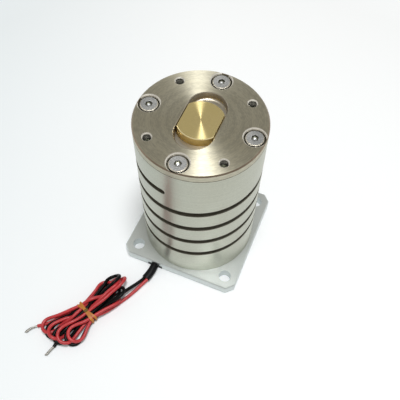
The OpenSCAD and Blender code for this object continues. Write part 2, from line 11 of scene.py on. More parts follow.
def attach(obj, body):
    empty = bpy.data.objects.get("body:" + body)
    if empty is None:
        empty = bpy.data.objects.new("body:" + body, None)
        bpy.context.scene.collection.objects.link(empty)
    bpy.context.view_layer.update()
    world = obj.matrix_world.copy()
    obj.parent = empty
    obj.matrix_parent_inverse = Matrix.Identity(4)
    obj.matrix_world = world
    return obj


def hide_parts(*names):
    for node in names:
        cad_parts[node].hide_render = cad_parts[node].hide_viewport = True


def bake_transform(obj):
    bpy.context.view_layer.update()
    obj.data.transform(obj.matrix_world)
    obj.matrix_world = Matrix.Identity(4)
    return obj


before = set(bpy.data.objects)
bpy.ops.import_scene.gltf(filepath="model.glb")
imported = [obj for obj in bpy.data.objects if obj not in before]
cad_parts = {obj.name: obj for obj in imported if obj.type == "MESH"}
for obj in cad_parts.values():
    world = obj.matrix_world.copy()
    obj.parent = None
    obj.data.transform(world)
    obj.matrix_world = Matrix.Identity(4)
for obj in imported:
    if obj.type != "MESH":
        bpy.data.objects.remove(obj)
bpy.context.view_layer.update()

# Sizes in millimetres. The main ones are those of the solids. The slot's width, the cap screws' heads
# and the small edges follow the photograph. CAP_BORE_PALE is the depth of a counterbore's upper wall,
# painted pale as painted light.
MM = 0.001
BODY_R = 20.0
BODY_BASE_Z = 4.0
BODY_TOP_Z = 61.0
END_WALL_Z = 55.0
SPRING_IN_R = 17.4
COLLAR_IN_R = 16.2
COLLAR_TOP_Z = 8.8
SEAM = 0.12
FLANGE_R = 11.65
FLANGE_Z = 60.0
BUSH_R = 8.85
SLOT_W = 2.3
SLOT_PITCH = 8.6
SLOT_TURNS = 4.5
SLOT_START = math.radians(-102.0)
SLOT_TOP_Z = 51.0
SLOT_BOTTOM_Z = SLOT_TOP_Z - SLOT_PITCH * SLOT_TURNS
SLOT_EDGE = 0.06
SCREW_CIRCLE_R = 16.5
SCREW_ANGLES = (0, 90, 180, 270)
LOAD_ANGLES = (45, 135, 225, 315)
TOP_Z = 63.5
RIM = 0.35
GUIDE_SLOT_R = 5.95
GUIDE_SLOT_HALF = 5.05
GUIDE_SLOT_LIP = 0.2
GUIDE_SLOT_FILLET = 1.0
CAP_HOLE_R = 1.6
CAP_BORE_R = 3.25
CAP_BORE_CHAMFER = 0.35
CAP_BORE_PALE = 1.0
CAP_SEAT_Z = 61.75
CAP_LENGTH = 6.0
CAP_SHANK_R = 1.5
CAP_SHANK_EDGE = 0.3
CAP_HEAD_R = 2.75
CAP_HEAD_H = 1.5
CAP_HEAD_EDGE_W = 0.25
CAP_HEAD_EDGE_H = 0.3
CAP_TOP_Z = CAP_SEAT_Z + CAP_HEAD_H
SOCKET_HALF = 1.0
SOCKET_EDGE_W = 0.1
SOCKET_EDGE_H = 0.08
SOCKET_DEPTH = 0.7
LOAD_HOLE_R = 1.25
LOAD_SINK = 0.35
THREAD_PITCH = 0.5
THREAD_DEPTH = 0.25
THREAD_START = 0.3
POST_R = 7.25
POST_FLAT = 5.7
POST_FOOT_R = 9.35
POST_FOOT_H = 3.0
POST_SPIGOT_R = 4.0
POST_SPIGOT_H = 1.0
FLATS_Z = 57.5
POST_EDGE = 0.22
LEAD_D = 1.2
SLEEVE_Z = 1.6
TIE_AT = Vector((-22.6, -47.5, 0.0))
TIE_TURN = math.radians(-20.0)
TIE_W = 0.75
TIE_SLANT = 0.7
TIE_T = 0.3

# Steps round the body, round a small ring and round a wide ring
TURN_STEPS = 144
RING_STEPS = 48
WIDE_RING_STEPS = 96

# How far the cutters reach past a wall, and past the top plate above and below
PAST_WALL = 0.6
PAST_TOP = 0.1
PAST_UNDERSIDE = 0.5

# Slack in telling faces apart by their distance from the motor's or a screw's axis, and by their height
WALL_SLACK = 0.02
HEAD_SIDE_SLACK = 0.05
LEVEL_SLACK = 0.01


def metres(point):
    """A point in millimetres, in Blender's metres."""
    return Vector(point) * MM


# Camera

CAMERA_AT = (37.489, -94.840, 184.095)
CAMERA_AZIMUTH = math.radians(21.457)
CAMERA_ELEVATION = math.radians(58.167)
CAMERA_ROLL = math.radians(1.091)
CAMERA_LENS = 48.99


def make_camera():
    """The photograph's view point, with its slight roll."""
    across, rise = CAMERA_AZIMUTH, CAMERA_ELEVATION
    back = Vector((math.sin(across) * math.cos(rise), -math.cos(across) * math.cos(rise), math.sin(rise)))
    right = Vector((math.cos(across), math.sin(across), 0.0))
    up = back.cross(right)
    camera_x = right * math.cos(CAMERA_ROLL) + up * math.sin(CAMERA_ROLL)
    camera_y = up * math.cos(CAMERA_ROLL) - right * math.sin(CAMERA_ROLL)
    data = bpy.data.cameras.new("camera")
    data.lens = CAMERA_LENS
    data.sensor_width = 36.0
    data.clip_start = 0.01
    data.clip_end = 20.0
    camera = bpy.data.objects.new("camera", data)
    bpy.context.scene.collection.objects.link(camera)
    turn = Matrix((camera_x, camera_y, back)).transposed().to_4x4()
    camera.matrix_world = Matrix.Translation(metres(CAMERA_AT)) @ turn
    bpy.context.scene.camera = camera


make_camera()


# Material helpers


def shader(name):
    """A new material, its node tree and its main shader."""
    material = bpy.data.materials.new(name)
    material.use_nodes = True
    return material, material.node_tree, material.node_tree.nodes["Principled BSDF"]


def add(tree, kind, inputs=None, **settings):
    """A new node with its settings, and its inputs as values or as links from other sockets."""
    made = tree.nodes.new(kind)
    for name, value in settings.items():
        setattr(made, name, value)
    for name, value in (inputs or {}).items():
        if isinstance(value, bpy.types.NodeSocket):
            tree.links.new(value, made.inputs[name])
        else:
            made.inputs[name].default_value = value
    return made


def rgb(colour):
    """A colour with full opacity."""
    return (*colour, 1.0)


def place(tree):
    """Object coordinates."""
    return add(tree, "ShaderNodeTexCoord").outputs["Object"]


def noise(tree, vector, scale, detail=3.0, rough=0.5):
    """Smooth three-dimensional noise, 0 to 1."""
    values = {"Vector": vector, "Scale": scale, "Detail": detail, "Roughness": rough}
    return add(tree, "ShaderNodeTexNoise", values).outputs["Fac"]


def line_noise(tree, along, scale):
    """Noise that changes along one length only, for tool marks."""
    values = {"W": along, "Scale": scale, "Detail": 4.0, "Roughness": 0.6}
    return add(tree, "ShaderNodeTexNoise", values, noise_dimensions="1D").outputs["Fac"]


def maths(tree, operation, first, second=0.0):
    """One operation on two values or sockets."""
    return add(tree, "ShaderNodeMath", {0: first, 1: second}, operation=operation).outputs[0]


def span(tree, value, low, high, from_low=0.0, from_high=1.0):
    """value moved from one range to another."""
    values = {"Value": value, "From Min": from_low, "From Max": from_high, "To Min": low, "To Max": high}
    return add(tree, "ShaderNodeMapRange", values).outputs["Result"]


def blend_colours(tree, share, first, second):
    """Two colours or sockets mixed by share."""
    mix = add(tree, "ShaderNodeMix", data_type="RGBA")
    for socket, value in ((mix.inputs[0], share), (mix.inputs[6], first), (mix.inputs[7], second)):
        if isinstance(value, bpy.types.NodeSocket):
            tree.links.new(value, socket)
        else:
            socket.default_value = value
    return mix.outputs[2]


def bumped(tree, height, depth):
    """A normal with bumps of height times depth in metres."""
    values = {"Height": height, "Distance": depth, "Strength": 1.0}
    return add(tree, "ShaderNodeBump", values).outputs["Normal"]


def radius_from_axis(tree, vector):
    """Distance of a point from the motor's axis, in metres."""
    parts = add(tree, "ShaderNodeSeparateXYZ", {"Vector": vector}).outputs
    x_squared = maths(tree, "MULTIPLY", parts[0], parts[0])
    y_squared = maths(tree, "MULTIPLY", parts[1], parts[1])
    return maths(tree, "SQRT", maths(tree, "ADD", x_squared, y_squared))


def height_of(tree, vector):
    """Height of a point or of a direction."""
    return add(tree, "ShaderNodeSeparateXYZ", {"Vector": vector}).outputs[2]


def set_link(tree, socket, target):
    """A link from an output to a shader's input."""
    tree.links.new(socket, target)


# Metals

# Length of arc in metres that a radian of turning takes up in the pattern of tool marks
STREAK = 0.003


def tool_marks(tree, at, marks):
    """Short streaks round the axis, fine along the height and the radius, and wider bands, 0 to 1."""
    parts = add(tree, "ShaderNodeSeparateXYZ", {"Vector": at}).outputs
    along = maths(tree, "ADD", radius_from_axis(tree, at), parts[2])
    round_axis = maths(tree, "MULTIPLY", maths(tree, "ARCTAN2", parts[1], parts[0]), STREAK)
    flat = add(tree, "ShaderNodeCombineXYZ", {"X": along, "Y": round_axis}).outputs[0]
    return noise(tree, flat, marks, 4.0, 0.65), line_noise(tree, along, marks * 0.22)


def turned_metal(name, colour, worn, roughness, stretch, marks, mark_depth, contrast=0.4):
    """Lathe-turned metal: tool marks round the axis, set by height on walls and by radius on flat faces."""
    material, tree, main = shader(name)
    at = place(tree)
    lines, bands = tool_marks(tree, at, marks)
    cloud = noise(tree, at, 90.0, 4.0)
    main.inputs["Metallic"].default_value = 1.0
    main.inputs["Anisotropic"].default_value = stretch
    main.inputs["Anisotropic Rotation"].default_value = 0.25
    tint = blend_colours(tree, span(tree, cloud, 0.0, 1.0, 0.3, 0.7), rgb(colour), rgb(worn))
    lines_and_bands = maths(tree, "ADD", lines, maths(tree, "MULTIPLY", bands, 0.5))
    marked = span(tree, lines_and_bands, 0.0, contrast, 0.66, 0.86)
    shaded = blend_colours(tree, marked, tint, rgb([c * 0.6 for c in colour]))
    set_link(tree, shaded, main.inputs["Base Color"])
    set_link(tree, span(tree, lines, roughness * 0.88, roughness * 1.14), main.inputs["Roughness"])
    set_link(tree, bumped(tree, lines, mark_depth), main.inputs["Normal"])
    round_axis = add(tree, "ShaderNodeTangent", direction_type="RADIAL", axis="Z")
    set_link(tree, round_axis.outputs[0], main.inputs["Tangent"])
    return material


def satin_metal(name, colour, worn, roughness, grain=4000.0, grain_depth=2e-6, bare=1.0):
    """Blasted, plated or drawn metal with a fine grain and faint clouds, less bare where tarnished."""
    material, tree, main = shader(name)
    at = place(tree)
    cloud = noise(tree, at, 140.0, 5.0)
    speck = noise(tree, at, grain, 2.0)
    main.inputs["Metallic"].default_value = bare
    patchy = span(tree, maths(tree, "ADD", cloud, speck), 0.0, 1.0, 0.8, 1.2)
    set_link(tree, blend_colours(tree, patchy, rgb(colour), rgb(worn)), main.inputs["Base Color"])
    set_link(tree, span(tree, speck, roughness - 0.06, roughness + 0.06), main.inputs["Roughness"])
    set_link(tree, bumped(tree, speck, grain_depth), main.inputs["Normal"])
    return material


def wound_wire(name, colour, dark, wire_d):
    """Enamelled wire wound in close layers, one ridge for each turn, with painted shade in the creases
    between turns.
    """
    material, tree, main = shader(name)
    at = place(tree)
    radians_per_metre = 2.0 * math.pi / (wire_d * MM)
    turn = maths(tree, "SINE", maths(tree, "MULTIPLY", height_of(tree, at), radians_per_metre))
    main.inputs["Metallic"].default_value = 1.0
    main.inputs["Coat Weight"].default_value = 0.4
    # Painted shade: the colour darkens towards the creases between turns.
    tint = blend_colours(tree, span(tree, turn, 0.0, 1.0, -1.0, 1.0), rgb(dark), rgb(colour))
    set_link(tree, tint, main.inputs["Base Color"])
    set_link(tree, span(tree, noise(tree, at, 900.0), 0.28, 0.45), main.inputs["Roughness"])
    set_link(tree, bumped(tree, turn, wire_d * 0.25 * MM), main.inputs["Normal"])
    return material


SCUFFS = 1500.0
SCUFF_DEPTH = 6e-6


def insulation(name, colour, dark, roughness, shine):
    """Satin insulation or rubber with faint scuffs."""
    material, tree, main = shader(name)
    at = place(tree)
    cloud = noise(tree, at, 350.0, 4.0)
    main.inputs["Specular IOR Level"].default_value = shine
    tint = blend_colours(tree, span(tree, cloud, 0.0, 1.0, 0.35, 0.7), rgb(colour), rgb(dark))
    set_link(tree, tint, main.inputs["Base Color"])
    scuffed = span(tree, noise(tree, at, SCUFFS), roughness - 0.08, roughness + 0.1)
    set_link(tree, scuffed, main.inputs["Roughness"])
    set_link(tree, bumped(tree, noise(tree, at, SCUFFS, 2.0), SCUFF_DEPTH), main.inputs["Normal"])
    return material


body_steel = turned_metal(
    "body_steel", (0.51, 0.525, 0.445), (0.47, 0.475, 0.395), 0.34,
    stretch=0.55, marks=9000.0, mark_depth=2e-6
)
top_steel = turned_metal(
    "top_steel", (0.60, 0.575, 0.46), (0.52, 0.49, 0.375), 0.40,
    stretch=0.85, marks=3200.0, mark_depth=3e-6, contrast=0.6
)
post_brass = turned_metal(
    "post_brass", (0.98, 0.82, 0.41), (0.92, 0.76, 0.35), 0.22,
    stretch=1.0, marks=5000.0, mark_depth=5e-7, contrast=0.12
)
bush_steel = turned_metal(
    "bush_steel", (0.66, 0.63, 0.56), (0.56, 0.53, 0.46), 0.30,
    stretch=0.4, marks=8000.0, mark_depth=2e-6
)
plate_aluminium = satin_metal("plate_aluminium", (0.61, 0.65, 0.635), (0.54, 0.58, 0.565), 0.38)
screw_steel = satin_metal("screw_steel", (0.86, 0.88, 0.89), (0.48, 0.50, 0.51), 0.32, grain=2500.0)
slot_steel = satin_metal(
    "slot_steel", (0.50, 0.46, 0.38), (0.38, 0.34, 0.27), 0.34, grain=2500.0, grain_depth=2e-7
)
# Painted highlight: bright steel on the chamfers of the counterbores and tapped holes and on the cap
# screws' top edges.
edge_highlight_steel = satin_metal("edge_highlight_steel", (0.84, 0.82, 0.75), (0.76, 0.73, 0.66), 0.45)
# Painted light: pale, barely metallic steel on the counterbores' upper walls, standing in for light on
# them.
painted_light_wall_steel = satin_metal("painted_light_wall_steel", (0.92, 0.88, 0.78), (0.84, 0.79, 0.68), 0.45, bare=0.25)
# Dark steel: a dark joint at the top plate's seam, and painted shade on the deep walls of the counterbores
# and of the cap screws' sockets.
joint_and_shade_steel = satin_metal("joint_and_shade_steel", (0.24, 0.24, 0.195), (0.17, 0.17, 0.135), 0.28)
# Painted shade on the spring's slot walls, where shade falls in the slot, and a dark joint at the seam
# under the top plate.
groove_shade_and_joint_steel = satin_metal("groove_shade_and_joint_steel", (0.20, 0.19, 0.155), (0.15, 0.14, 0.11), 0.32, bare=0.2)
# Painted shade: dark steel on the sides of the cap screws' heads, in the gap round them.
head_side_shade_steel = satin_metal("head_side_shade_steel", (0.20, 0.20, 0.20), (0.12, 0.12, 0.12), 0.40)
# Painted shade: dark steel on the threads inside the tapped holes.
thread_shade_steel = satin_metal("thread_shade_steel", (0.24, 0.24, 0.22), (0.16, 0.16, 0.145), 0.35)
# Painted shade: dark brown steel on the chamfer round the top plate's rim.
rim_shade_steel = satin_metal("rim_shade_steel", (0.34, 0.27, 0.20), (0.26, 0.20, 0.15), 0.30)
wall_brass = satin_metal("wall_brass", (0.80, 0.61, 0.25), (0.70, 0.51, 0.19), 0.60)
# Painted highlight: brighter brass on the chamfer round the post's top.
edge_highlight_brass = satin_metal("edge_highlight_brass", (0.95, 0.84, 0.50), (0.88, 0.75, 0.42), 0.45)
yoke_steel = satin_metal("yoke_steel", (0.30, 0.29, 0.26), (0.24, 0.23, 0.20), 0.45)
magnet_nickel = satin_metal("magnet_nickel", (0.60, 0.59, 0.56), (0.52, 0.51, 0.48), 0.22)
former_aluminium = satin_metal("former_aluminium", (0.70, 0.71, 0.72), (0.62, 0.63, 0.64), 0.40)
tinned_wire = satin_metal("tinned_wire", (0.46, 0.45, 0.42), (0.34, 0.33, 0.30), 0.38)
coil_copper = wound_wire("coil_copper", (0.62, 0.26, 0.10), (0.30, 0.11, 0.04), wire_d=0.3)

# Insulation, rubber and tie

stop_rubber = insulation("stop_rubber", (0.03, 0.03, 0.03), (0.05, 0.05, 0.05), 0.7, shine=0.3)
sleeve_black = insulation("sleeve_black", (0.003, 0.003, 0.004), (0.006, 0.006, 0.007), 0.42, shine=0.14)
lead_red = insulation("lead_red", (0.52, 0.040, 0.045), (0.42, 0.028, 0.034), 0.36, shine=0.4)
lead_black = insulation("lead_black", (0.003, 0.003, 0.003), (0.005, 0.005, 0.005), 0.34, shine=0.12)
tie_orange = insulation("tie_orange", (0.52, 0.19, 0.022), (0.38, 0.13, 0.018), 0.45, shine=0.4)
# Painted shade: dark olive on the tie's knot, where its turns cross.
knot_shade_olive = insulation("knot_shade_olive", (0.16, 0.11, 0.015), (0.09, 0.06, 0.010), 0.50, shine=0.3)

NODE_FINISH = {
    "base_plate": plate_aluminium,
    "body_screws": screw_steel,
    "former_screws": screw_steel,
    "yoke_screws": screw_steel,
    "post_screw": screw_steel,
    "guide_bush_upper": bush_steel,
    "guide_bush_lower": bush_steel,
    "field_yoke": yoke_steel,
    "inner_pole": yoke_steel,
    "magnet_ring_upper": magnet_nickel,
    "magnet_ring_lower": magnet_nickel,
    "magnet_spacer_upper": former_aluminium,
    "magnet_spacer_middle": former_aluminium,
    "magnet_retainer": former_aluminium,
    "coil_former": former_aluminium,
    "coil_upper": coil_copper,
    "coil_lower": coil_copper,
    "coil_tails": coil_copper,
    "stop_ring": stop_rubber,
    "lead_grommet": sleeve_black,
}
for node_name, finish in NODE_FINISH.items():
    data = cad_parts[node_name].data
    data.materials.clear()
    data.materials.append(finish)


# Mesh helpers


def smooth_faces(data, sharp_above=30.0):
    """Smooth shading that keeps edges sharp above an angle in degrees."""
    data.shade_smooth()
    data.set_sharp_from_angle(angle=math.radians(sharp_above))


def finished_piece(bm, name, finish, sharp_above=30.0):
    """A piece from a bmesh, with doubles merged, faces outward and sharp edges kept."""
    bmesh.ops.remove_doubles(bm, verts=bm.verts, dist=1e-7)
    bmesh.ops.recalc_face_normals(bm, faces=bm.faces)
    data = bpy.data.meshes.new(name)
    bm.to_mesh(data)
    bm.free()
    smooth_faces(data, sharp_above)
    data.materials.append(finish)
    piece = bpy.data.objects.new(name, data)
    bpy.context.scene.collection.objects.link(piece)
    return piece


def finish_faces(piece, finishes, choose):
    """Adds more finishes to a piece, for the faces to which choose gives one."""
    first = len(piece.data.materials)
    for finish in finishes:
        piece.data.materials.append(finish)
    for face in piece.data.polygons:
        chosen = choose(face)
        if chosen is not None:
            face.material_index = first + finishes.index(chosen)


def outline_loop(bm, points):
    """A closed loop of edges in the XZ plane through points of radius and height."""
    corners = [bm.verts.new((r * MM, 0.0, z * MM)) for r, z in points]
    return [bm.edges.new((a, b)) for a, b in zip(corners, corners[1:] + corners[:1])]


def turned_shell(outline):
    """An outline of points of radius and height, turned once round the motor's axis."""
    bm = bmesh.new()
    edges = outline_loop(bm, outline)
    bmesh.ops.spin(
        bm, geom=edges, cent=(0, 0, 0), axis=(0, 0, 1), angle=2 * math.pi, steps=TURN_STEPS, use_merge=True
    )
    return bm


def turn_to(bm, angle):
    """The whole bmesh turned about the motor's axis."""
    bmesh.ops.rotate(bm, verts=bm.verts, cent=(0, 0, 0), matrix=Matrix.Rotation(angle, 3, "Z"))


def stacked_rings(bm, rings, at=None):
    """A closed shape through rings of points in millimetres, all with the same count of points."""
    stack, loops = [], []
    for index, ring in enumerate(rings):
        level = Matrix.Translation((0, 0, index))
        circle = bmesh.ops.create_circle(bm, cap_ends=False, segments=len(ring), radius=1.0, matrix=level)
        made = circle["verts"]
        stack.append(made)
        loops.append(list({edge for vert in made for edge in vert.link_edges}))
    for one, two in zip(loops, loops[1:]):
        bmesh.ops.bridge_loops(bm, edges=one + two)
    for loop in (loops[0], loops[-1]):
        bmesh.ops.contextual_create(bm, geom=loop)
    faces = list({face for made in stack for vert in made for face in vert.link_faces})
    bmesh.ops.recalc_face_normals(bm, faces=faces)
    turns_up = rings[-1][0][2] > rings[0][0][2]
    for made, ring in zip(stack, rings):
        for vert, point in zip(made, ring):
            vert.co = metres(point)
    if not turns_up:
        bmesh.ops.reverse_faces(bm, faces=faces)
    if at is not None:
        bmesh.ops.transform(bm, matrix=at, verts=[vert for made in stack for vert in made])


def circle_ring(radius, height, count=RING_STEPS):
    """Points round a circle."""
    steps = [2 * math.pi * (index + 0.5) / count for index in range(count)]
    return [(math.cos(a) * radius, math.sin(a) * radius, height) for a in steps]


def hexagon_ring(half, height):
    """Points round a hexagon of half width half."""
    points = []
    for index in range(RING_STEPS):
        angle = 2 * math.pi * index / RING_STEPS
        lean = math.remainder(angle, math.pi / 3)
        reach = half / math.cos(lean)
        points.append((math.cos(angle) * reach, math.sin(angle) * reach, height))
    return points


def obround_ring(radius, half, height):
    """Points round a slot with round ends along Y."""
    circle = circle_ring(radius, height, WIDE_RING_STEPS)
    return [(x, y + math.copysign(half, y), z) for x, y, z in circle]


def flatted_ring(radius, flat, height):
    """Points round a circle with two flats across X."""
    circle = circle_ring(radius, height, WIDE_RING_STEPS)
    return [(max(-flat, min(flat, x)), y, z) for x, y, z in circle]


def on_circle(radius, angle):
    """Places a copy at an angle in degrees on a circle about the motor's axis."""
    return Matrix.Rotation(math.radians(angle), 4, "Z") @ Matrix.Translation(metres((radius, 0, 0)))


def from_nearest(face, angles):
    """Distance in millimetres of a face from the nearest of the axes on the screw circle."""
    axes = [on_circle(SCREW_CIRCLE_R, angle).translation for angle in angles]
    return min((face.center - axis).xy.length for axis in axes) / MM


def cut_with(piece, cutter_bm):
    """piece with the cutter's volume taken away."""
    data = bpy.data.meshes.new("cutter")
    cutter_bm.to_mesh(data)
    cutter_bm.free()
    cutter = bpy.data.objects.new("cutter", data)
    bpy.context.scene.collection.objects.link(cutter)
    cut = piece.modifiers.new("cut", "BOOLEAN")
    cut.object = cutter
    cut.operation = "DIFFERENCE"
    cut.solver = "EXACT"
    bpy.context.view_layer.update()
    shape = bpy.data.meshes.new_from_object(piece.evaluated_get(bpy.context.evaluated_depsgraph_get()))
    piece.modifiers.clear()
    old = piece.data
    piece.data = shape
    bpy.data.meshes.remove(old)
    bpy.data.objects.remove(cutter)
    bpy.data.meshes.remove(data)


# Spring body

# Angles in degrees at which the slot's round ends are stepped
ROUND_END_STEPS = (30.0, 55.0, 72.0, 82.0)

# Screw holes as circle radius, angles, hole radius, bottom and top
BODY_HOLES = (
    (SCREW_CIRCLE_R, SCREW_ANGLES, 1.55, 54.0, 62.0),
    (SCREW_CIRCLE_R, LOAD_ANGLES, 1.25, 57.0, 62.0),
    (14.0, (22.5, 112.5, 202.5, 292.5), 2.1, 59.1, 62.0),
    (18.1, SCREW_ANGLES, 1.05, BODY_BASE_Z - 1, COLLAR_TOP_Z - 0.5),
)
HOLE_STEPS = 32


def slot_cutter():
    """A ribbon along the helical slot, narrowed to round ends."""
    bm = bmesh.new()
    inner, outer, half = SPRING_IN_R - PAST_WALL, BODY_R + PAST_WALL, SLOT_W / 2
    low, high = SLOT_TOP_Z - half, SLOT_TOP_Z + half
    edges = outline_loop(bm, [(inner, low), (outer, low), (outer, high), (inner, high)])
    spun = bmesh.ops.spin(
        bm, geom=edges, cent=(0, 0, 0), axis=(0, 0, 1), angle=-2.0 * math.pi * SLOT_TURNS,
        dvec=Vector((0, 0, -SLOT_PITCH * MM / TURN_STEPS)), steps=round(TURN_STEPS * SLOT_TURNS),
        use_merge=False
    )
    last_edges = [e for e in spun["geom_last"] if isinstance(e, bmesh.types.BMEdge)]
    for loop, way, middle in ((edges, 1.0, SLOT_TOP_Z), (last_edges, -1.0, SLOT_BOTTOM_Z)):
        reach, width = 0.0, 1.0
        squeeze = Matrix.Translation((0, 0, middle * MM)).inverted()
        for lean in ROUND_END_STEPS:
            new_reach = math.sin(math.radians(lean)) * half / BODY_R
            new_width = math.cos(math.radians(lean))
            grown = bmesh.ops.extrude_edge_only(bm, edges=loop)["geom"]
            verts = [v for v in grown if isinstance(v, bmesh.types.BMVert)]
            grown_edges = [e for e in grown if isinstance(e, bmesh.types.BMEdge)]
            loop = [e for e in grown_edges if all(v in verts for v in e.verts)]
            turn = Matrix.Rotation(way * (new_reach - reach), 3, "Z")
            bmesh.ops.rotate(bm, verts=verts, cent=(0, 0, 0), matrix=turn)
            bmesh.ops.scale(bm, verts=verts, vec=(1, 1, new_width / width), space=squeeze)
            reach, width = new_reach, new_width
    bmesh.ops.holes_fill(bm, edges=bm.edges, sides=4)
    bmesh.ops.recalc_face_normals(bm, faces=bm.faces)
    turn_to(bm, SLOT_START)
    return bm


def hole_cutter(rows):
    """Upright drills, one for each angle of each row."""
    bm = bmesh.new()
    for circle_r, angles, drill_r, low, high in rows:
        middle = Matrix.Translation(metres((0, 0, (low + high) / 2)))
        for angle in angles:
            bmesh.ops.create_cone(
                bm, cap_ends=True, segments=HOLE_STEPS, radius1=drill_r * MM, radius2=drill_r * MM,
                depth=(high - low) * MM, matrix=on_circle(circle_r, angle) @ middle
            )
    return bm


def soften_slot_edges(piece):
    """A small bevel along the slot's outer edges."""
    bm = bmesh.new()
    bm.from_mesh(piece.data)
    bmesh.ops.remove_doubles(bm, verts=bm.verts, dist=2e-7)
    wall = (BODY_R - WALL_SLACK) * MM
    low, high = (BODY_BASE_Z + 1) * MM, (BODY_TOP_Z - 1) * MM
    rim = [
        e for e in bm.edges
        if len(e.link_faces) == 2
        and all(v.co.xy.length > wall and low < v.co.z < high for v in e.verts)
        and e.calc_face_angle() > math.radians(40)
    ]
    bmesh.ops.bevel(
        bm, geom=rim, offset=SLOT_EDGE * MM, offset_type="OFFSET", segments=2, profile=0.5,
        affect="EDGES", material=-1, clamp_overlap=True
    )
    bm.to_mesh(piece.data)
    bm.free()


def spring_finish(face):
    """Painted shade: a dark, barely metallic colour on the slot's walls; and a dark joint at the seam under
    the top plate.
    """
    reach, z = face.center.xy.length / MM, face.center.z / MM
    in_wall = SPRING_IN_R + WALL_SLACK < reach < BODY_R - WALL_SLACK
    in_slot = in_wall and COLLAR_TOP_Z < z < END_WALL_Z
    in_seam = reach > BODY_R - SEAM and BODY_TOP_Z - SEAM < z < BODY_TOP_Z
    return groove_shade_and_joint_steel if in_slot or in_seam else None


def make_spring_body():
    """The round body: a turned shell cut by one helical slot, with its screw holes."""
    bm = turned_shell([
        (COLLAR_IN_R, BODY_BASE_Z), (BODY_R - SEAM, BODY_BASE_Z), (BODY_R, BODY_BASE_Z + SEAM),
        (BODY_R, BODY_TOP_Z - SEAM), (BODY_R - SEAM, BODY_TOP_Z), (FLANGE_R, BODY_TOP_Z),
        (FLANGE_R, FLANGE_Z), (BUSH_R, FLANGE_Z), (BUSH_R, END_WALL_Z), (SPRING_IN_R, END_WALL_Z),
        (SPRING_IN_R, COLLAR_TOP_Z), (COLLAR_IN_R, COLLAR_TOP_Z),
    ])
    turn_to(bm, SLOT_START)
    piece = finished_piece(bm, "spring_body_slotted", body_steel)
    cut_with(piece, slot_cutter())
    cut_with(piece, hole_cutter(BODY_HOLES))
    soften_slot_edges(piece)
    finish_faces(piece, [groove_shade_and_joint_steel], spring_finish)
    smooth_faces(piece.data, 15.0)
    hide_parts("spring_body")
    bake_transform(piece)


# Top plate, guide post and cap screws

# Radii of rings that divide the plate's two flat sides. The guide slot takes the smallest away.
UNDERSIDE_RINGS = (2.0, 8.0, 14.0)
TOP_RINGS = (17.3, 15.2, 11.5, 8.0, 2.0)

# Distances that tell a load hole's faces from a counterbore's, and those from the guide slot's
LOAD_HOLE_ZONE = 2.0
GUIDE_SLOT_ZONE = 0.5

# Distances from a screw's axis and depths below its top between which its socket's walls lie, painted dark
# as shade
SOCKET_ZONE = (0.64, 1.2)
SOCKET_WALLS = (0.1, 0.77)

# How each cap screw's socket happens to be turned, in degrees
SOCKET_TURNS = (12, 40, 5, 25)

# The drilled point under a socket, as radius and depth below the head's top
SOCKET_POINT = ((0.62, 0.78), (0.12, 1.0))


def guide_slot_rings():
    """The guide slot from below upwards: filleted ends, straight walls and a chamfered mouth."""
    rings = [obround_ring(GUIDE_SLOT_R, GUIDE_SLOT_HALF - GUIDE_SLOT_FILLET, BODY_TOP_Z - PAST_UNDERSIDE)]
    for lean in range(0, 91, 15):
        turn = math.radians(lean)
        half = GUIDE_SLOT_HALF - GUIDE_SLOT_FILLET * (1 - math.sin(turn))
        height = BODY_TOP_Z + GUIDE_SLOT_FILLET * (1 - math.cos(turn))
        rings.append(obround_ring(GUIDE_SLOT_R, half, height))
    rings.append(obround_ring(GUIDE_SLOT_R, GUIDE_SLOT_HALF, TOP_Z - GUIDE_SLOT_LIP))
    rings.append(obround_ring(GUIDE_SLOT_R + GUIDE_SLOT_LIP + PAST_TOP, GUIDE_SLOT_HALF, TOP_Z + PAST_TOP))
    return rings


def counterbore_rings():
    """A cap screw's clearance hole and counterbore."""
    sizes = [
        (CAP_HOLE_R, BODY_TOP_Z - PAST_UNDERSIDE), (CAP_HOLE_R, CAP_SEAT_Z), (CAP_BORE_R, CAP_SEAT_Z),
        (CAP_BORE_R, TOP_Z - CAP_BORE_PALE), (CAP_BORE_R, TOP_Z - CAP_BORE_CHAMFER),
        (CAP_BORE_R + CAP_BORE_CHAMFER + PAST_TOP, TOP_Z + PAST_TOP),
    ]
    return [circle_ring(r, z) for r, z in sizes]


def load_hole_rings():
    """A tapped hole: thread grooves and a countersunk mouth."""
    rings = [circle_ring(LOAD_HOLE_R, BODY_TOP_Z - PAST_UNDERSIDE)]
    level = BODY_TOP_Z - THREAD_START
    while level < TOP_Z - LOAD_SINK - THREAD_PITCH:
        rings.append(circle_ring(LOAD_HOLE_R, level))
        rings.append(circle_ring(LOAD_HOLE_R + THREAD_DEPTH, level + THREAD_PITCH / 2))
        level += THREAD_PITCH
    rings.append(circle_ring(LOAD_HOLE_R, TOP_Z - LOAD_SINK))
    rings.append(circle_ring(LOAD_HOLE_R + LOAD_SINK + PAST_TOP, TOP_Z + PAST_TOP))
    return rings


def plate_finish(face):
    """Top plate finishes: a dark joint at the seam, painted shade on the rim chamfer, threads and deep bore
    walls, painted highlights on the chamfers, painted light on the upper bore walls.
    """
    reach, z = face.center.xy.length / MM, face.center.z / MM
    if not BODY_TOP_Z + LEVEL_SLACK < z < TOP_Z - LEVEL_SLACK:
        return None
    if reach > BODY_R - RIM:
        if z < BODY_TOP_Z + SEAM:
            return joint_and_shade_steel
        return rim_shade_steel if z > TOP_Z - RIM else None
    if from_nearest(face, LOAD_ANGLES) < LOAD_HOLE_ZONE:
        return edge_highlight_steel if z > TOP_Z - LOAD_SINK else thread_shade_steel
    if reach > GUIDE_SLOT_R + GUIDE_SLOT_HALF + GUIDE_SLOT_ZONE:
        if z > TOP_Z - CAP_BORE_CHAMFER:
            return edge_highlight_steel
        return painted_light_wall_steel if z > TOP_Z - CAP_BORE_PALE else joint_and_shade_steel
    return slot_steel


